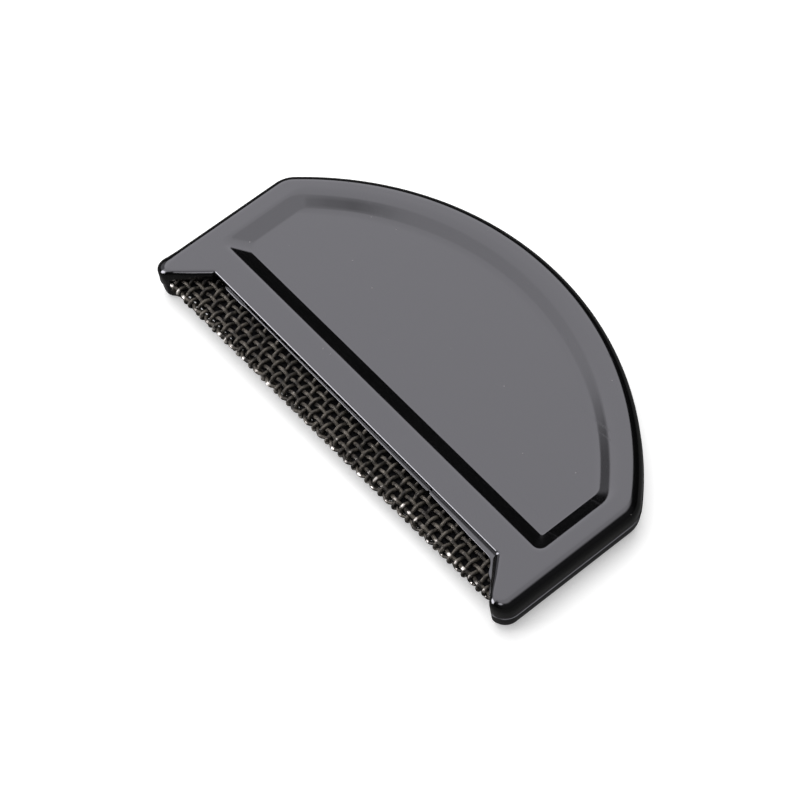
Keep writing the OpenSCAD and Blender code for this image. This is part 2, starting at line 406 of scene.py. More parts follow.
@dataclass(frozen=True)
class MouldedPlastic:
    """Glossy black moulded plastic with faint waviness, hairlines and specks of dust.

    Heights are in millimetres and scales are to the metre.
    """

    name: str
    colour: Triple = (0.0026, 0.0026, 0.0028)
    roughness: float = 0.13
    index: float = 1.5
    specular: float = 0.5
    dust_colour: Triple = (0.07, 0.066, 0.062)
    dust_share: float = 0.08
    dust_scale: float = 620.0
    dust_size: float = 0.07
    smudge: float = 0.1
    smudge_scale: float = 90.0
    hair_turn: float = 0.5
    hair_scale: Triple = (40.0, 1700.0, 40.0)
    hair_level: float = 0.74
    hair_roughness: float = 0.12
    wave_height: float = 0.03
    wave_scale: float = 170.0
    grain_height: float = 0.0012
    grain_scale: float = 2600.0

    def make(self) -> bpy.types.Material:
        """Builds the material.

        Returns:
            The finished material.
        """
        material, shader = new_material(self.name, IOR=self.index, Specular_IOR_Level=self.specular)
        place = coordinates(material.node_tree)
        plug(place.tree, self.base_colour(place), shader.inputs["Base Color"])
        plug(place.tree, self.surface_roughness(place), shader.inputs["Roughness"])
        plug(place.tree, self.surface_relief(place), shader.inputs["Normal"])
        return material

    def base_colour(self, place: Term) -> Term:
        """Black with sparse fine specks of dust.

        Args:
            place: the object's coordinates.

        Returns:
            The colour.
        """
        tree = place.tree
        cells = add_node(tree, "ShaderNodeTexVoronoi", {"feature": "F1"}, Vector=place, Scale=self.dust_scale)
        near = Term(tree, cells.outputs["Distance"]).calc("LESS_THAN", self.dust_size)
        chosen = add_node(tree, "ShaderNodeSeparateColor", Color=cells.outputs["Color"])
        kept = Term(tree, chosen.outputs["Red"]).calc("LESS_THAN", self.dust_share)
        return mix_colours(near * kept, self.colour, self.dust_colour)

    def surface_roughness(self, place: Term) -> Term:
        """Roughness that varies with handling, and along fine hairlines.

        Args:
            place: the object's coordinates.

        Returns:
            The roughness.
        """
        smudges = noise(place, self.smudge_scale, 4.0, Roughness=0.6)
        turn = (0.0, 0.0, self.hair_turn)
        turned = add_node(place.tree, "ShaderNodeMapping", Vector=place, Rotation=turn, Scale=self.hair_scale)
        hairs = noise(Term(place.tree, turned.outputs[0]), 1.0, 1.0).calc("GREATER_THAN", self.hair_level)
        return (smudges - 0.5) * self.smudge + self.roughness + hairs * self.hair_roughness

    def surface_relief(self, place: Term) -> Term:
        """The normal, bent by the slow waviness and fine grain that moulding leaves."""
        slow = bump(noise(place, self.wave_scale, 1.0), self.wave_height, 1.0)
        return bump(noise(place, self.grain_scale, 2.0), self.grain_height, 0.6, Normal=slow)


@dataclass(frozen=True)
class WornWire:
    """Dark bronzed wire whose knuckles are rubbed bright, with sizes as for the plastic."""

    name: str
    dark: Triple = (0.040, 0.036, 0.029)
    bright: Triple = (0.56, 0.53, 0.48)
    tarnish: Pair = (0.35, 1.75)
    tarnish_range: Pair = (0.38, 0.62)
    tarnish_scale: float = 900.0
    roughness: float = 0.52
    stain_roughness: float = 0.1
    worn_roughness: float = -0.22
    metallic: float = 0.5
    specular: float = 0.25
    stain_scale: float = 1400.0
    patch_scale: float = 230.0
    rub_spread: float = 0.7
    rub_range: Pair = (0.89, 1.12)
    pit_depth: float = 0.05

    def make(self) -> bpy.types.Material:
        """Builds the material.

        Returns:
            The finished material.
        """
        material, shader = new_material(self.name, Metallic=self.metallic, Specular_IOR_Level=self.specular)
        tree = material.node_tree
        place = coordinates(tree)
        knuckle = add_node(tree, "ShaderNodeAttribute", {"attribute_name": "knuckle"})
        height = Term(tree, knuckle.outputs["Fac"])
        stain = noise(place, self.stain_scale, 3.0)
        patch = noise(place, self.patch_scale, 1.0)
        rub = height + (stain - 0.5) * self.rub_spread + (patch - 0.5) * self.rub_spread
        worn = share_of_way(rub, *self.rub_range)
        shade = share_of_way(noise(place, self.tarnish_scale, 2.0), *self.tarnish_range)
        base = mix_colours(shade, *(tuple(part * c for c in self.dark) for part in self.tarnish))
        rough = worn * self.worn_roughness + stain * self.stain_roughness + self.roughness
        plug(tree, mix_colours(worn, base, self.bright), shader.inputs["Base Color"])
        plug(tree, rough, shader.inputs["Roughness"])
        plug(tree, bump(stain, self.pit_depth, 0.7), shader.inputs["Normal"])
        return material


# Handle


@dataclass(frozen=True)
class Steps:
    """Numbers of points along the parts of a shell's outlines, and of rings down its sections."""

    notch: int = 46
    turn: int = 12
    face: int = 34
    face_ease: int = 20
    nose: int = 14
    tip: int = 26
    side: int = 24
    corner: int = 22
    back: int = 64
    rim: int = 13
    recess_front: int = 30
    recess_corner: int = 14
    recess_side: int = 8
    recess_back: int = 50
    recess_rim: int = 10
    recess_foot: int = 7


@dataclass
class Border:
    """The closed outline of a shell, with what changes along it.

    The rows of each array follow the outline against the clock from the middle of the notch. flat holds
    the point of the flat face that each point rises to, rim the rim's radius, lean the share of the ear's
    lean and outer the share of the seam's step. ear is one in the ears.
    """

    points: np.ndarray
    outward: np.ndarray
    flat: np.ndarray
    rim: np.ndarray
    lean: np.ndarray
    outer: np.ndarray
    ear: np.ndarray


@dataclass
class Shell:
    """One moulded half of the handle: a half-moon plate with a thumb recess, a notch and two ears."""

    side: Side
    finish: MouldedPlastic
    steps: Steps = Steps()
    half_length: float = 44.0
    thickness: float = 6.8
    back_radius: float = 58.2
    back_centre_y: float = -34.7
    back_corner: float = 5.0
    tip_radius: float = 2.8
    tip_centre: Pair = (41.2, -20.7)
    rim: float = 2.0
    notch_y: float = -17.0
    notch_half: float = 35.5
    notch_corner: float = 0.8
    notch_rim: float = 0.4
    front_y: float = -23.5
    front_rim: float = 1.35
    ear_slant: float = 43.0
    ear_lean: float = 14.0
    ear_rim: float = 0.7
    ear_tip: float = 1.2
    nose_lean: float = 0.35
    # How far before and past its corner in the ear the flat face's edge is gathered
    flat_gather: Pair = (0.7, 0.55)
    # The right ear's front lies back and its root is rounder, and the left ear bulges
    ear_skew: float = 0.0075
    skew_run: float = 3.0
    root_round: float = 0.75
    root_run: float = 6.0
    ear_bulge: float = 0.5
    ear_retreat: float = 0.55
    bulge_centre: Pair = (-43.0, -22.0)
    bulge_way: Pair = (0.8, 0.6)
    bulge_spread: float = 4.0
    lean_end_z: float = 5.35
    seam_z: float = 3.4
    seam_gap: float = 0.05
    seam_step: float = 0.2
    seam_edge: float = 0.13
    seam_bead: Four = (0.0, 0.24, 0.265, 0.25)
    recess_half: float = 39.9
    recess_left_half: float = 39.4
    recess_radius: float = 54.1
    recess_corner: float = 5.0
    recess_front_y: float = -12.5
    recess_front_corner: float = 1.7
    recess_left_spread: float = 0.15
    recess_least_corner: Pair = (0.6, 0.5)
    recess_depth: float = 1.4
    recess_slope: float = 2.75
    recess_rim: float = 2.1
    recess_foot: float = 0.7
    recess_insets: tuple[float, float, int] = (-1.6, 4.2, 59)
    arc_rim: float = 5.2
    arc_foot: float = 3.4
    # Half width, front, back and top of the two cuts for the mesh and its frame
    slot: Four = (40.39, -24.1, -14.2, 4.85)
    seat: Four = (41.14, -21.95, -13.4, 5.35)
    cavity_top: float = 4.15
    cavity_wall: float = 1.5
    overlap: float = 0.4
    support: float = 0.15
    sharp_angle: float = 50.0

    def run(self, points: np.ndarray, outward: object, *shares: object) -> np.ndarray:
        """A run of the outline as rows that hold all of Border's values side by side.

        Args:
            points: its points.
            outward: the outward direction, for each point or for all.
            shares: rim, lean, outer and ear, for each point or for all.

        Returns:
            The rows.
        """
        count = len(points)
        outward = np.broadcast_to(outward, (count, 2))
        rim, *rest = (np.broadcast_to(item, (count,)).astype(float)[:, None] for item in shares)
        return np.hstack([points, outward, points - outward * (rim + self.support), rim, *rest])

    def back_join(self, half: float, radius: float, corner: float) -> tuple[Pair, float]:
        """Where the corner at the end of a straight side meets the round back.

        Args:
            half: the side's distance from the comb's middle.
            radius: the back's radius.
            corner: the corner's radius.

        Returns:
            The corner's centre, and the angle in degrees at which the two arcs meet.
        """
        x = half - corner
        y = self.back_centre_y + math.sqrt((radius - corner) ** 2 - x**2)
        return (x, y), math.degrees(math.atan2(y - self.back_centre_y, x))

    def right_border(self) -> Border:
        """The outline's right half, from the middle of the notch to the middle of the back.

        Returns:
            The half, both ends counted.
        """
        steps = self.steps
        slant = math.radians(self.ear_slant)
        along = np.array([math.sin(slant), -math.cos(slant)])
        out = np.array([-math.cos(slant), -math.sin(slant)])
        root = np.array([self.notch_half, self.notch_y])
        # The notch's back corner, round towards the notch
        reach = self.notch_corner * math.tan(math.radians(90.0 - self.ear_slant) / 2.0)
        corner_centre = (self.notch_half - reach, self.notch_y - self.notch_corner)
        # The ear's rim is broader than the notch's, so its wall stands further out
        extra = self.ear_rim - self.notch_rim
        # The small round between the ear's inner face and its tip touches both
        tip = np.array(self.tip_centre)
        base = root + out * (extra - self.ear_tip) - tip
        gap = self.tip_radius - self.ear_tip
        middle = float(base @ along)
        travel = -middle + math.sqrt(middle * middle - float(base @ base) + gap * gap)
        inner = tip + base + along * travel
        tip_angle = math.degrees(math.atan2(inner[1] - tip[1], inner[0] - tip[0]))
        face_angle = math.degrees(math.atan2(out[1], out[0])) + 360.0
        # Corner of the flat face in the ear
        flat_root = root - out * (self.notch_rim + self.support)
        flat_y = self.front_y + self.front_rim + self.support
        flat_corner = flat_root + along * ((flat_root[1] - flat_y) / math.cos(slant))
        # The parts of the outline, with their directions and shares
        wall = line((0.0, self.notch_y), (corner_centre[0], self.notch_y), steps.notch)
        grow = smooth_step(0, 1, steps.turn)
        turn_rays = -rays(90.0, self.ear_slant, steps.turn)
        turn = arc(corner_centre, self.notch_corner, 90.0, self.ear_slant, steps.turn)
        turn = turn + turn_rays * (extra * grow)[:, None]
        face = line(tuple(turn[-1]), tuple(inner + out * self.ear_tip), steps.face)
        face_lean = smooth_step(1, self.nose_lean, steps.face_ease)
        face_lean = np.append(np.ones(steps.face - steps.face_ease), face_lean)
        nose_rays = rays(face_angle, tip_angle + 360.0, steps.nose)
        nose = inner + nose_rays * self.ear_tip
        nose_lean, nose_outer = smooth_step(self.nose_lean, 0, steps.nose), smooth_step(0, 1, steps.nose)
        tip_share = np.clip(np.linspace(tip_angle, 0.0, steps.tip) / 90.0 + 1.0, 0.0, 1.0)
        tip_rim = self.front_rim + (self.rim - self.front_rim) * tip_share
        round_tip = arc(self.tip_centre, self.tip_radius, tip_angle, 0.0, steps.tip)
        centre, join = self.back_join(self.half_length, self.back_radius, self.back_corner)
        side = line((self.half_length, self.tip_centre[1]), (self.half_length, centre[1]), steps.side)
        corner = arc(centre, self.back_corner, 0.0, join, steps.corner)
        back = arc((0.0, self.back_centre_y), self.back_radius, join, 90.0, steps.back)
        runs = [
            self.run(wall, (0.0, -1.0), self.notch_rim, 0, 0, 0),
            self.run(turn, turn_rays, self.notch_rim + extra * grow, grow, 0, 0),
            self.run(face, out, self.ear_rim, face_lean, 0, 1),
            self.run(nose, nose_rays, self.front_rim, nose_lean, nose_outer, 1),
            self.run(round_tip, rays(tip_angle, 0.0, steps.tip), tip_rim, 0, 1, 1),
            self.run(side, (1.0, 0.0), self.rim, 0, 1, 0),
            self.run(corner, rays(0.0, join, steps.corner), self.rim, 0, 1, 0),
            self.run(back, rays(join, 90.0, steps.back), self.rim, 0, 1, 0),
        ]
        rows = joined(runs)
        half = Border(rows[:, 0:2], rows[:, 2:4], rows[:, 4:6], *rows[:, 6:].T)
        self.round_flat_corner(half, flat_corner, along)
        return half

    def round_flat_corner(self, half: Border, corner: np.ndarray, along: np.ndarray) -> None:
        """Gathers the flat face's edge round its corner in the ear, where its offset lines cross.

        Args:
            half: the outline's right half, changed in place.
            corner: the corner's place.
            along: direction of the ear's inner face.
        """
        before_corner, past_corner = self.flat_gather
        ear = np.flatnonzero(half.ear > 0.5)
        flat = half.flat[ear]
        before = (flat - corner) @ along < -before_corner
        first = int(np.argmin(before))
        after = (half.outer[ear] >= 1.0) & (flat[:, 0] > corner[0] + past_corner)
        last = int(np.argmax(after))
        t = np.linspace(0.0, 1.0, last - first + 2)[1:-1, None]
        start, end = flat[first - 1], flat[last]
        half.flat[ear[first:last]] = (1 - t) ** 2 * start + 2 * t * (1 - t) * corner + t**2 * end
        reach = np.linalg.norm(half.points - half.flat, axis=1)[ear] - self.support
        low = min(self.ear_rim, self.front_rim)
        half.rim[ear] = np.clip(reach, low, np.maximum(half.rim[ear], self.front_rim))

    def border(self) -> Border:
        """The whole closed outline, with its left half mirrored from its right."""
        parts = vars(self.right_border()).values()
        return Border(*(np.concatenate([part, mirrored(part)]) for part in parts))

    def rim_rings(self, border: Border) -> list[np.ndarray]:
        """Rings from just inside the flat face, round the rim and down the wall to the seam.

        Args:
            border: the shell's outline.

        Returns:
            Rings of points in millimetres, for the upper half.
        """
        below = self.side is Side.LOWER
        step = (self.seam_step * border.outer * below)[:, None] * border.outward
        top = self.thickness
        lean = math.tan(math.radians(self.ear_lean))
        reach = np.linalg.norm(border.points - border.flat, axis=1)
        root = np.clip(1.0 - (self.notch_y - border.points[:, 1]) / self.root_run, 0.0, 1.0)
        root = root * (border.points[:, 0] > 0.0) * border.lean
        rim = border.rim + self.root_round * root
        # Each ring's points, its height and how far it is towards the flat face
        rings = [(border.flat, np.full(len(reach), top), 1.0)]
        for angle in np.radians(np.linspace(90.0, 0.0, self.steps.rim)):
            share = (1.0 - math.cos(angle)) * (reach - self.support) / reach
            flat = border.points + (border.flat - border.points) * share[:, None]
            rings.append((flat, top - rim * (1.0 - math.sin(angle)), 1.0 - math.cos(angle)))
        wall_top = rings[-1][1]
        low_end = np.minimum(self.lean_end_z, wall_top)
        low = self.seam_z + self.seam_gap
        for share in (0.5, 1.0):
            rings.append((border.points, wall_top + (low_end - wall_top) * share, 0.0))
        for angle, bead in zip(np.radians(np.linspace(0.0, 90.0, len(self.seam_bead))), self.seam_bead):
            inset = self.seam_edge * (1.0 - math.cos(angle))
            inset = inset - (inset + bead) * border.outer * below
            height = low + self.seam_edge * (1.0 - math.sin(angle))
            rings.append((border.points - border.outward * inset[:, None], np.full(len(reach), height), 0.0))
        placed = []
        for flat, height, share in rings:
            spread = lean * border.lean * (top - np.maximum(height, self.lean_end_z))
            moved = flat - step + border.outward * spread[:, None]
            front = np.clip((self.notch_y - moved[:, 1]) / self.skew_run, 0.0, 1.0)
            moved[:, 1] += self.ear_skew * np.maximum(moved[:, 0], 0.0) * front
            near = np.exp(-np.sum((moved - self.bulge_centre) ** 2, axis=1) / self.bulge_spread)
            swell = self.ear_retreat * share - self.ear_bulge * (1.0 - share)
            moved += near[:, None] * np.array(self.bulge_way) * swell
            moved -= border.outward * (self.root_round * share * root)[:, None]
            placed.append(np.column_stack([moved, height]))
        return placed

    def recess_border(self, inset: float) -> np.ndarray:
        """The recess's outline at a distance inside its outer edge.

        Args:
            inset: that distance.

        Returns:
            Points against the clock, as many for every inset.
        """
        right_least, left_least = self.recess_least_corner
        right_corner = max(self.recess_front_corner - inset, right_least)
        left_corner = max(self.recess_front_corner + self.recess_left_spread * inset, left_least)
        right = self.recess_side(inset, self.recess_half, right_corner)
        left = self.recess_side(inset, self.recess_left_half, left_corner)
        return np.concatenate([right, mirrored(left)])

    def recess_side(self, inset: float, side_x: float, front_corner: float) -> np.ndarray:
        """One half of the recess's outline, from the middle of its front to the middle of its back.

        Args:
            inset: distance inside the recess's outer edge.
            side_x: that edge's greatest distance from the comb's middle.
            front_corner: radius of the front corner.

        Returns:
            Points of the right half.
        """
        steps = self.steps
        half, radius, corner = side_x - inset, self.recess_radius - inset, self.recess_corner - inset
        front = self.recess_front_y + inset
        front_x, front_y = half - front_corner, front + front_corner
        centre, join = self.back_join(half, radius, corner)
        return joined([
            line((0.0, front), (front_x, front), steps.recess_front),
            arc((front_x, front_y), front_corner, -90.0, 0.0, steps.recess_corner),
            line((half, front_y), (half, centre[1]), steps.recess_side),
            arc(centre, corner, 0.0, join, steps.recess_corner),
            arc((0.0, self.back_centre_y), radius, join, 90.0, steps.recess_back),
        ])

    def recess_rings(self) -> list[np.ndarray]:
        """Rings from the flat face down the recess's slope to its floor, softer along the back arc.

        Returns:
            Rings of points in millimetres, for the upper half.
        """
        steps = self.steps
        grid = np.linspace(*self.recess_insets)
        table = np.stack([self.recess_border(inset) for inset in grid])
        count = table.shape[1]
        # Each run but the last gives up the point that the next one starts with
        plain = np.zeros(steps.recess_front + steps.recess_corner + steps.recess_side - 3)
        ease = smooth_step(0, 1, steps.recess_corner)[:-1]
        half = np.concatenate([plain, ease, np.ones(steps.recess_back)])
        soft = np.concatenate([half, mirrored(half)])
        rim = self.recess_rim + (self.arc_rim - self.recess_rim) * soft
        foot = self.recess_foot + (self.arc_foot - self.recess_foot) * soft
        fall = math.atan2(self.recess_depth, self.recess_slope)
        top, floor = self.thickness, self.thickness - self.recess_depth
        rim_reach, foot_reach = rim * math.tan(fall / 2.0), foot * math.tan(fall / 2.0)
        profile = [(-rim_reach - self.support, np.full(count, top))]
        for angle in np.linspace(0.0, fall, steps.recess_rim):
            profile.append((-rim_reach + rim * math.sin(angle), top - rim * (1.0 - math.cos(angle))))
        for angle in np.linspace(fall, 0.0, steps.recess_foot):
            inset = self.recess_slope + foot_reach - foot * math.sin(angle)
            profile.append((inset, floor + foot * (1.0 - math.cos(angle))))
        profile.append((self.recess_slope + foot_reach + self.support, np.full(count, floor)))
        index = np.arange(count)
        rings = []
        for inset, height in profile:
            place = (inset - grid[0]) / (grid[1] - grid[0])
            low = np.clip(place.astype(int), 0, len(grid) - 2)
            share = (place - low)[:, None]
            flat = table[low, index] * (1.0 - share) + table[low + 1, index] * share
            rings.append(np.column_stack([flat, height]))
        return rings

    def closed_plate(self, name: str) -> Obj:
        """The shell as a solid plate, before it is hollowed.

        Args:
            name: the piece's name.

        Returns:
            The closed piece.
        """
        form = bmesh.new()
        place = np.array([1.0, 1.0, float(self.side.value)])
        lift = 0.0 if self.side is Side.UPPER else self.thickness

        def loops(rings: list[np.ndarray]) -> list[list[bmesh.types.BMVert]]:
            """Adds the rings' points and the faces between neighbours.

            Args:
                rings: the rings in order.

            Returns:
                The points of each ring.
            """
            rows = [[form.verts.new(((p * place) + (0.0, 0.0, lift)) * MM) for p in ring] for ring in rings]
            for upper, lower in zip(rows, rows[1:]):
                for i in range(len(upper)):
                    j = (i + 1) % len(upper)
                    form.faces.new((upper[i], upper[j], lower[j], lower[i]))
            return rows

        def edge(row: list[bmesh.types.BMVert]) -> list[bmesh.types.BMEdge]:
            """The edges of one ring."""
            return [form.edges.get((row[i], row[(i + 1) % len(row)])) for i in range(len(row))]

        walls = loops(self.rim_rings(self.border()))
        hollow = loops(self.recess_rings())
        for edges in (edge(walls[0]) + edge(hollow[0]), edge(hollow[-1]), edge(walls[-1])):
            bmesh.ops.triangle_fill(form, edges=edges, use_beauty=True, use_dissolve=False)
        bmesh.ops.recalc_face_normals(form, faces=form.faces)
        return from_form(name, form)

    def cut_levels(self, top: float) -> list[float]:
        """The lowest and highest level of a cut from past the seam to an upper-half level, in this half."""
        levels = (self.seam_z - self.overlap, top)
        return sorted(levels if self.side is Side.UPPER else (self.thickness - level for level in levels))

    def hollow(self, obj: Obj) -> None:
        """Cuts the mesh's slot, the clamp frame's seat and the hollow inside.

        Args:
            obj: the closed plate.
        """
        for name, (half, front, back, top) in (("slot_cut", self.slot), ("seat_cut", self.seat)):
            carve(obj, block(name, half, front, back, *self.cut_levels(top)))
        border = self.border()
        inside = border.points - border.outward * self.cavity_wall
        kept = inside[(inside[:, 1] > self.seat[2] - self.overlap) & (border.outer > 0.5)]
        carve(obj, prism("hollow_cut", kept, *self.cut_levels(self.cavity_top)))

    def build(self) -> Obj:
        """Makes the shell and dresses it.

        Returns:
            The finished piece, in the place of its node.
        """
        half = self.side.name.lower()
        obj = self.closed_plate(f"{half}_handle_shell")
        self.hollow(obj)
        shade_smooth(obj, self.sharp_angle)
        return dress(obj, self.finish.make(), f"{half}_shell")


@dataclass
class ClampFrame:
    """The thin frame that presses the folded mesh into its seat; its lip shows along the notch."""

    side: Side
    finish: MouldedPlastic
    edge: float = 0.16
    edge_segments: int = 3
    edge_angle: float = 35.0
    sharp_angle: float = 40.0
    weld: float = 0.002
    flat_angle: float = 1.0
    notch_half: float = 35.5
    notch_y: float = -17.0
    ear_slant: float = 43.0
    # Points of the lip's front, and by the ears their distances along and out from the inner face
    lip: tuple[Pair, ...] = (
        (-33.4, -16.6), (-32.6, -17.2), (-31.5, -17.36), (-28.2, -17.32), (-27.2, -17.12), (-20.0, -17.12),
        (0.0, -17.2), (19.5, -17.4), (19.56, -17.1), (19.84, -17.1), (19.9, -17.42), (27.0, -17.6),
        (32.4, -17.88), (33.4, -18.02), (34.1, -18.3), (34.55, -18.75),
    )
    left_ear: tuple[Pair, ...] = ((9.5, 0.3), (2.0, 0.3), (0.8, 0.0), (0.0, -0.3))
    right_ear: tuple[Pair, ...] = ((3.9, 0.55), (9.5, 0.35))
    cut_corner: Pair = (48.0, -28.0)
    cut_levels: Pair = (-1.0, 8.0)

    def lip_outline(self) -> np.ndarray:
        """The room in front of the lip, from one ear's wall to the other's.

        Returns:
            Its closed outline, against the clock.
        """
        slant = math.radians(self.ear_slant)
        x, y = self.cut_corner

        def by_ear(side: float, along: float, out: float) -> Pair:
            """A point by its distances along and out from an ear's inner face."""
            reach = self.notch_half + along * math.sin(slant) - out * math.cos(slant)
            return side * reach, self.notch_y - along * math.cos(slant) - out * math.sin(slant)

        left = [by_ear(-1.0, *place) for place in self.left_ear]
        right = [by_ear(1.0, *place) for place in self.right_ear]
        return np.array([(-x, y), *left, *self.lip, *right, (x, y)])[::-1]

    def build(self, frame: dict) -> Obj:
        """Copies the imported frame, cuts its lip and breaks its edges.


        Returns:
            The finished piece.
        """
        node = f"{self.side.name.lower()}_clamp_frame"
        form = bmesh.new()
        form.from_mesh(frame["nodes"][node].data)
        bmesh.ops.remove_doubles(form, verts=form.verts, dist=self.weld * MM)
        flat = math.radians(self.flat_angle)
        bmesh.ops.dissolve_limit(form, angle_limit=flat, verts=form.verts, edges=form.edges)
        obj = from_form(f"{node}_lip", form)
        carve(obj, prism("lip_cut", self.lip_outline(), *self.cut_levels))
        bevel = obj.modifiers.new("edges", "BEVEL")
        bevel.width = self.edge * MM
        bevel.segments = self.edge_segments
        bevel.limit_method = "ANGLE"
        bevel.angle_limit = math.radians(self.edge_angle)
        settle(obj)
        shade_smooth(obj, self.sharp_angle)
        return dress(obj, self.finish.make(), node)


# Woven mesh


@dataclass
class FoldedMesh:
    """One set of wires of a plain-woven strip, folded round the core so that its nose is the comb's edge."""

    run: Run
    finish: WornWire
    wire: float = 0.62
    wire_sides: int = 8
    warp_count: int = 50
    warp_pitch: float = 1.62
    warp_shift: float = 0.75
    weft_count: int = 11
    weft_pitch: float = 1.60
    nose_row: float = -0.2
    row_skew: float = -0.0193
    skew_centre: float = 3.0
    crimp: float = 0.30
    fold_radius: float = 0.865
    fold_y: float = -21.46
    fold_skew: float = 0.0140
    middle_z: float = 3.4
    half_width: float = 40.0
    half_reach: float = 8.1
    wander: float = 0.17
    own_stray: float = 0.7
    swing: float = 1.6
    swing_scale: float = 130.0
    wire_apart: float = 0.013
    # A knuckle's height counts in full within the second distance of the nose, and less past the first
    nose_range: Pair = (2.3, 0.9)
    far_height: float = 0.58
    # Of the warp and of the weft
    seeds: tuple[int, int] = (11, 51)
    points_per_pitch: int = 14

    def inputs(self) -> dict[str, float | int]:
        """The tree's named inputs with this mesh's sizes, in metres.

        Returns:
            Input name to value.
        """
        warp = self.run is Run.WARP
        length = 2.0 * (self.half_reach if warp else self.half_width)
        pitch = self.weft_pitch if warp else self.warp_pitch
        return {
            "Wire Count": self.warp_count if warp else self.weft_count,
            "Stations": int(length / pitch * self.points_per_pitch),
            "Length": length * MM,
            "Wire Radius": self.wire / 2.0 * MM,
            "Warp Pitch": self.warp_pitch * MM,
            "Warp Shift": self.warp_shift * MM,
            "Weft Pitch": self.weft_pitch * MM,
            "Nose Row": self.nose_row * MM,
            "Row Skew": self.row_skew,
            "Skew Centre": self.skew_centre * MM,
            "Crimp": self.crimp * MM,
            "Fold Radius": self.fold_radius * MM,
            "Fold Y": self.fold_y * MM,
            "Fold Skew": self.fold_skew,
            "Middle Z": self.middle_z * MM,
            "Wander": self.wander * MM,
            "Seed": self.seeds[0 if warp else 1],
        }

    def tree(self, material: bpy.types.Material) -> Tree:
        """Builds the node tree that draws, weaves and folds the wires.

        Args:
            material: their finish.

        Returns:
            The tree, with its sizes as inputs.
        """
        tree = bpy.data.node_groups.new(f"{self.run.name.lower()}_wires", "GeometryNodeTree")
        sizes = self.inputs()
        for name, value in sizes.items():
            kind = "NodeSocketInt" if isinstance(value, int) else "NodeSocketFloat"
            tree.interface.new_socket(name, in_out="INPUT", socket_type=kind)
        tree.interface.new_socket("Geometry", in_out="OUTPUT", socket_type="NodeSocketGeometry")
        given = tree.nodes.new("NodeGroupInput").outputs
        size = {name: Term(tree, given[name]) for name in sizes}
        woven = self.weave(tree, size, self.straight_wires(tree, size))
        ring = add_node(
            tree, "GeometryNodeCurvePrimitiveCircle", Resolution=self.wire_sides, Radius=size["Wire Radius"]
        )
        section = ring.outputs["Curve"]
        tubes = add_node(tree, "GeometryNodeCurveToMesh", Curve=woven, Profile_Curve=section, Fill_Caps=True)
        whole = add_node(tree, "GeometryNodeRealizeInstances", Geometry=tubes.outputs["Mesh"])
        whole = whole.outputs["Geometry"]
        dressed = add_node(tree, "GeometryNodeSetMaterial", Geometry=whole, Material=material)
        add_node(tree, "NodeGroupOutput", Geometry=dressed.outputs["Geometry"])
        return tree

    def straight_wires(self, tree: Tree, size: dict[str, Term]) -> Socket:
        """Straight flat wires side by side: X along the fold, Y the way round it.

        Args:
            tree: the node tree.
            size: its inputs.

        Returns:
            The wires as separate curves.
        """
        warp = self.run is Run.WARP
        along, across = ("Y", "X") if warp else ("X", "Y")

        def place(axis: str, distance: Term) -> Socket:
            """The place at a distance along an axis."""
            return add_node(tree, "ShaderNodeCombineXYZ", **{axis: distance}).outputs[0]

        start, end = (place(along, size["Length"] * half) for half in (-0.5, 0.5))
        wire = add_node(tree, "GeometryNodeCurvePrimitiveLine", Start=start, End=end)
        fine = add_node(tree, "GeometryNodeResampleCurve", Curve=wire.outputs["Curve"], Count=size["Stations"])
        pitch = size["Warp Pitch" if warp else "Weft Pitch"]
        first = (size["Wire Count"] - (0.0 if warp else 1.0)) * pitch * -0.5
        first = first + (size["Warp Shift"] if warp else 0.0)
        places = add_node(
            tree,
            "GeometryNodeMeshLine",
            {"mode": "OFFSET"},
            Count=size["Wire Count"],
            Offset=place(across, pitch),
            Start_Location=place(across, first),
        )
        copies = add_node(
            tree, "GeometryNodeInstanceOnPoints", Points=places.outputs["Mesh"], Instance=fine.outputs["Curve"]
        )
        return add_node(tree, "GeometryNodeRealizeInstances", Geometry=copies.outputs[0]).outputs["Geometry"]

    def weave(self, tree: Tree, size: dict[str, Term], wires: Socket) -> Socket:
        """Crimps the wires over and under each other and folds the strip round its core.

        Args:
            tree: the node tree.
            size: its inputs.
            wires: the straight wires.

        Returns:
            The woven wires, with the height of each point kept as knuckle.
        """
        at = tree.nodes.new("GeometryNodeInputPosition").outputs[0]
        flat = add_node(tree, "ShaderNodeSeparateXYZ", Vector=at)
        x, s = Term(tree, flat.outputs["X"]), Term(tree, flat.outputs["Y"])
        column = (x - size["Warp Shift"]) / size["Warp Pitch"]
        slope = (x - size["Skew Centre"]) * size["Row Skew"]
        if self.run is Run.WARP:
            index = column.calc("ROUND")
            phase = (s - size["Nose Row"] - slope) / size["Weft Pitch"] + index
            sign = 1.0
        else:
            index = (s / size["Weft Pitch"]).calc("ROUND")
            phase = column + index
            s = s + size["Nose Row"] + slope
            sign = -1.0
        wave = (phase * math.pi).calc("COSINE") * sign
        drift = self.drift(tree, size, index, x, s)
        if self.run is Run.WARP:
            x = x + drift
        else:
            s = s + drift
        quarter = size["Fold Radius"] * (math.pi / 2.0)
        bend = s.calc("MINIMUM", quarter).calc("MAXIMUM", quarter * -1.0) / size["Fold Radius"]
        reach = size["Fold Radius"] + wave * size["Crimp"]
        straight = (s.calc("ABSOLUTE") - quarter).calc("MAXIMUM", 0.0)
        y = size["Fold Y"] + x * size["Fold Skew"] + straight - reach * bend.calc("COSINE")
        z = size["Middle Z"] + reach * bend.calc("SINE")
        place = add_node(tree, "ShaderNodeCombineXYZ", X=x, Y=y, Z=z).outputs[0]
        near = share_of_way(s.calc("ABSOLUTE"), *(limit * MM for limit in self.nose_range))
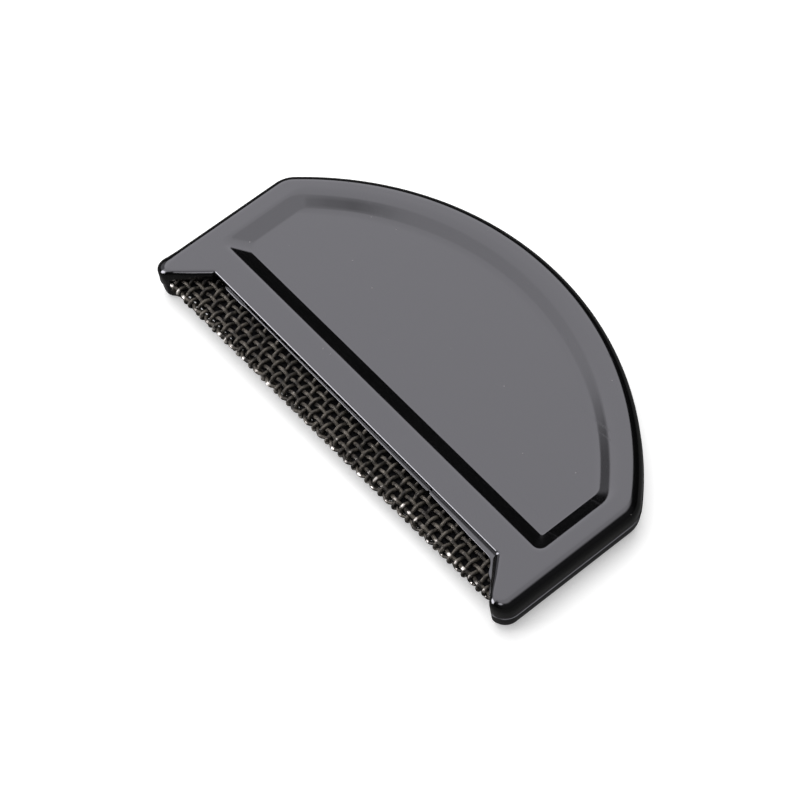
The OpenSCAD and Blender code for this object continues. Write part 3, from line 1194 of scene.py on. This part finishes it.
        mark = add_node(
            tree,
            "GeometryNodeStoreNamedAttribute",
            {"data_type": "FLOAT", "domain": "POINT"},
            Geometry=wires,
            Name="knuckle",
            Value=wave * (near * (1.0 - self.far_height) + self.far_height),
        )
        moved = add_node(tree, "GeometryNodeSetPosition", Geometry=mark.outputs["Geometry"], Position=place)
        return moved.outputs["Geometry"]

    def drift(self, tree: Tree, size: dict[str, Term], index: Term, x: Term, s: Term) -> Term:
        """How far a wire strays sideways from its even place.

        Args:
            tree: the node tree.
            size: its inputs.
            index: the wire's number.
            x: place along the fold.
            s: place round the fold.

        Returns:
            The distance at each point.
        """
        own = add_node(tree, "FunctionNodeRandomValue", {"data_type": "FLOAT"}, ID=index, Seed=size["Seed"])
        at = add_node(tree, "ShaderNodeCombineXYZ", X=x, Y=s, Z=index * self.wire_apart)
        random = (Term(tree, own.outputs["Value"]) - 0.5) * self.own_stray
        swing = (noise(Term(tree, at.outputs[0]), self.swing_scale, 0.0) - 0.5) * self.swing
        return (random + swing) * size["Wander"]

    def build(self) -> Obj:
        """Makes the wires as a plain mesh.

        Returns:
            The finished piece, in the place of its node.
        """
        kind = self.run.name.lower()
        material = self.finish.make()
        obj = new_object(f"woven_{kind}_wires")
        tree = self.tree(material)
        weave = obj.modifiers.new("weave", "NODES")
        weave.node_group = tree
        values = self.inputs()
        for item in tree.interface.items_tree:
            if item.in_out == "INPUT":
                weave[item.identifier] = values[item.name]
        settle(obj)
        obj.data.polygons.foreach_set("use_smooth", np.ones(len(obj.data.polygons), bool))
        return dress(obj, material, f"mesh_{kind}_wires")


# Studio


@dataclass(frozen=True)
class SoftBox:
    """A soft lamp, by its direction and distance from the comb and its size, in metres."""

    name: str
    towards: Triple
    distance: float
    width: float
    height: float
    radiance: float

    def build(self, target: Vector) -> None:
        """Adds the lamp, facing the comb.

        Args:
            target: the comb's middle.
        """
        lamp = bpy.data.lights.new(self.name, "AREA")
        lamp.shape = "RECTANGLE"
        lamp.size, lamp.size_y = self.width, self.height
        lamp.energy = self.radiance * math.pi * self.width * self.height
        obj = bpy.data.objects.new(self.name, lamp)
        bpy.context.scene.collection.objects.link(obj)
        direction = Vector(self.towards).normalized()
        obj.location = target + direction * self.distance
        obj.rotation_euler = direction.to_track_quat("Z", "Y").to_euler()
        obj.visible_camera = False
        obj.visible_glossy = False


@dataclass(frozen=True)
class GlossCard:
    """A pale card with a soft edge, by its direction from the comb and its half sizes in degrees."""

    towards: Triple
    half_width: float
    half_height: float
    radiance: float
    soft: float = 0.12
    least_ahead: float = 0.02

    def light(self, towards: Term) -> Term:
        """The card's light in the gloss, by direction from the comb.

        Args:
            towards: unit direction.

        Returns:
            The radiance there, zero off the card.
        """
        axis = Vector(self.towards).normalized()
        side = Vector((0.0, 0.0, 1.0)).cross(axis).normalized()
        ahead, wide, high = (
            towards.calc("DOT_PRODUCT", way, kind="ShaderNodeVectorMath", output="Value")
            for way in (axis, side, axis.cross(side))
        )
        ahead = ahead.calc("MAXIMUM", self.least_ahead)
        wide = wide / ahead / math.tan(math.radians(self.half_width))
        high = high / ahead / math.tan(math.radians(self.half_height))
        edge = add_node(
            towards.tree,
            "ShaderNodeMapRange",
            {"interpolation_type": "SMOOTHSTEP"},
            Value=(wide * wide + high * high).calc("SQRT"),
            From_Min=1.0 + self.soft,
            From_Max=1.0 - self.soft,
            To_Max=self.radiance,
        )
        return Term(towards.tree, edge.outputs[0])


@dataclass
class Studio:
    """Pale floor, soft lamps, dark room for the gloss and the camera.

    The floor, the mat and the dome are in metres. The dome and the mat are seen by glossy rays only; the mat
    is a dim sheet that paints the floor's shadow beside the comb into the comb's gloss.
    """

    azimuth: float = 61.281
    elevation: float = 55.381
    roll: float = -12.0
    distance: float = 390.0
    target: Triple = (2.877, -9.587, 3.8)
    focal_pixels: float = 2519.6
    frame_pixels: float = 800.0
    sensor: float = 36.0
    clip: Pair = (0.01, 20.0)
    floor_half: float = 4.0
    floor_colour: Triple = (0.9, 0.9, 0.9)
    floor_roughness: float = 0.9
    floor_glow: float = 0.35
    world_fill: float = 0.35
    # The mat is a painted shadow: a dim sheet that stands in for the floor's shade beside the comb in its
    # reflections
    mat_half: float = 1.6
    mat_height: float = 0.0002
    painted_shadow_radiance: float = 0.13
    dome_radius: float = 1.5
    dome_segments: tuple[int, int] = (64, 32)
    lamps: list[SoftBox] = field(
        default_factory=lambda: [
            SoftBox("overhead_softbox", (-0.35, 0.25, 0.9), 0.62, 0.78, 0.78, 2.4),
            SoftBox("front_softbox", (-0.52, -0.72, 0.46), 0.6, 0.30, 0.20, 3.0),
        ]
    )
    card_tint: Triple = (0.935, 0.92, 1.0)
    cards: list[GlossCard] = field(
        default_factory=lambda: [
            GlossCard((-0.498, 0.273, 0.823), 34.0, 33.0, 4.1),
            GlossCard((-0.48, -0.37, 0.79), 28.0, 22.0, 3.6, 0.35),
            GlossCard((0.13, 0.10, 0.98), 32.0, 30.0, 3.5, 0.4),
            GlossCard((-0.90, -0.22, 0.37), 16.0, 10.0, 1.1, 0.5),
            GlossCard((0.86, -0.10, 0.50), 46.0, 34.0, 0.12, 0.5),
            GlossCard((0.36, -0.52, 0.77), 9.0, 10.0, 8.0, 0.4),
            GlossCard((-0.50, -0.755, 0.42), 16.0, 17.0, 19.0, 0.25),
        ]
    )

    def camera(self) -> None:
        """Adds the camera at the photograph's angle."""
        turn, rise, tilt = (math.radians(a) for a in (self.azimuth, self.elevation, self.roll))
        back = Vector((math.sin(turn) * math.cos(rise), -math.cos(turn) * math.cos(rise), math.sin(rise)))
        right = Vector((math.cos(turn), math.sin(turn), 0.0))
        up = back.cross(right)
        side = right * math.cos(tilt) + up * math.sin(tilt)
        top = up * math.cos(tilt) - right * math.sin(tilt)
        lens = bpy.data.cameras.new("camera")
        lens.sensor_width = self.sensor
        lens.lens = self.focal_pixels / self.frame_pixels * self.sensor
        lens.clip_start, lens.clip_end = self.clip
        obj = bpy.data.objects.new("camera", lens)
        bpy.context.scene.collection.objects.link(obj)
        eye = (Vector(self.target) + back * self.distance) * MM
        obj.matrix_world = Matrix.Translation(eye) @ Matrix((side, top, back)).transposed().to_4x4()
        bpy.context.scene.camera = obj

    @staticmethod
    def seen(tree: Tree) -> Term:
        """One for rays from the camera, in gloss or through glass, else zero.

        Args:
            tree: a material's or the world's tree.

        Returns:
            That number.
        """
        path = tree.nodes.new("ShaderNodeLightPath").outputs
        seen = Term(tree, path["Is Camera Ray"]).calc("MAXIMUM", path["Is Glossy Ray"])
        return seen.calc("MAXIMUM", path["Is Transmission Ray"])

    def floor(self) -> None:
        """Adds the pale floor under the comb."""
        obj = square("floor", self.floor_half, 0.0)
        material, shader = new_material(
            "pale_floor",
            Base_Color=(*self.floor_colour, 1.0),
            Roughness=self.floor_roughness,
            Specular_IOR_Level=0.0,
            Emission_Color=(1.0, 1.0, 1.0, 1.0),
        )
        tree = material.node_tree
        plug(tree, self.seen(tree) * self.floor_glow, shader.inputs["Emission Strength"])
        obj.data.materials.append(material)

    @staticmethod
    def gloss_only(obj: Obj, name: str) -> Tree:
        """Hides a piece of the studio from all rays but glossy ones, and starts its material.

        Args:
            obj: the piece.
            name: the material's name.

        Returns:
            The material's empty tree.
        """
        material = bpy.data.materials.new(name)
        material.use_nodes = True
        material.node_tree.nodes.clear()
        obj.data.materials.append(material)
        for kind in ("camera", "diffuse", "transmission", "shadow"):
            setattr(obj, f"visible_{kind}", False)
        return material.node_tree

    def gloss_dome(self) -> None:
        """Adds a black dome with pale cards, which only the gloss of the comb sees."""
        form = bmesh.new()
        across, up = self.dome_segments
        bmesh.ops.create_uvsphere(form, u_segments=across, v_segments=up, radius=self.dome_radius)
        under = [v for v in form.verts if v.co.z < -MM]
        bmesh.ops.delete(form, geom=under, context="VERTS")
        tree = self.gloss_only(from_form("gloss_dome", form), "reflection_cards")
        towards = coordinates(tree).calc("NORMALIZE", kind="ShaderNodeVectorMath")
        total = Term(tree, 0.0)
        for card in self.cards:
            total = card.light(towards).calc("MAXIMUM", total)
        tint = (*self.card_tint, 1.0)
        end_tree(tree, "ShaderNodeEmission", "ShaderNodeOutputMaterial", Color=tint, Strength=total)

    def gloss_mat(self) -> None:
        """Adds a dim grey mat on the floor, which only the gloss of the comb sees: a painted shadow that
        darkens the floor reflected in the comb's walls.
        """
        tree = self.gloss_only(square("gloss_mat", self.mat_half, self.mat_height), "dim_mat")
        end_tree(tree, "ShaderNodeEmission", "ShaderNodeOutputMaterial", Strength=self.painted_shadow_radiance)

    def world(self) -> None:
        """Sets a world that is white to the eye and in gloss, and a dim fill for the rest."""
        world = bpy.data.worlds.new("studio")
        bpy.context.scene.world = world
        world.use_nodes = True
        tree = world.node_tree
        tree.nodes.clear()
        strength = self.seen(tree) * (1.0 - self.world_fill) + self.world_fill
        white = (1.0, 1.0, 1.0, 1.0)
        end_tree(tree, "ShaderNodeBackground", "ShaderNodeOutputWorld", Color=white, Strength=strength)

    def build(self) -> None:
        """Sets up the whole studio."""
        self.camera()
        self.world()
        self.floor()
        self.gloss_dome()
        self.gloss_mat()
        for lamp in self.lamps:
            lamp.build(Vector(self.target) * MM)
        bpy.context.scene.view_settings.view_transform = "Standard"


# The comb


def report(obj: Obj) -> None:
    """Logs a finished piece's name and number of faces."""
    log.info("%s: %d faces", obj.name, len(obj.data.polygons))


def main() -> None:
    """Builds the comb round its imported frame, and the studio that shows it."""
    logging.basicConfig(level=logging.INFO, format="%(message)s")
    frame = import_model()
    Studio().build()
    shell_finish = MouldedPlastic("moulded_black_plastic")
    lip_finish = MouldedPlastic("clamp_frame_plastic", dust_share=0.05)
    core_finish = MouldedPlastic("core_plastic", roughness=0.9, dust_share=0.0, specular=0.1)
    for side in Side:
        report(Shell(side, shell_finish).build())
        report(ClampFrame(side, lip_finish).build(frame))
    core = frame["nodes"]["mesh_core"]
    core.data.materials.clear()
    core.data.materials.append(core_finish.make())
    report(core)
    for run in Run:
        report(FoldedMesh(run, WornWire("worn_bronze_wire")).build())


if __name__ == "__main__":
    main()
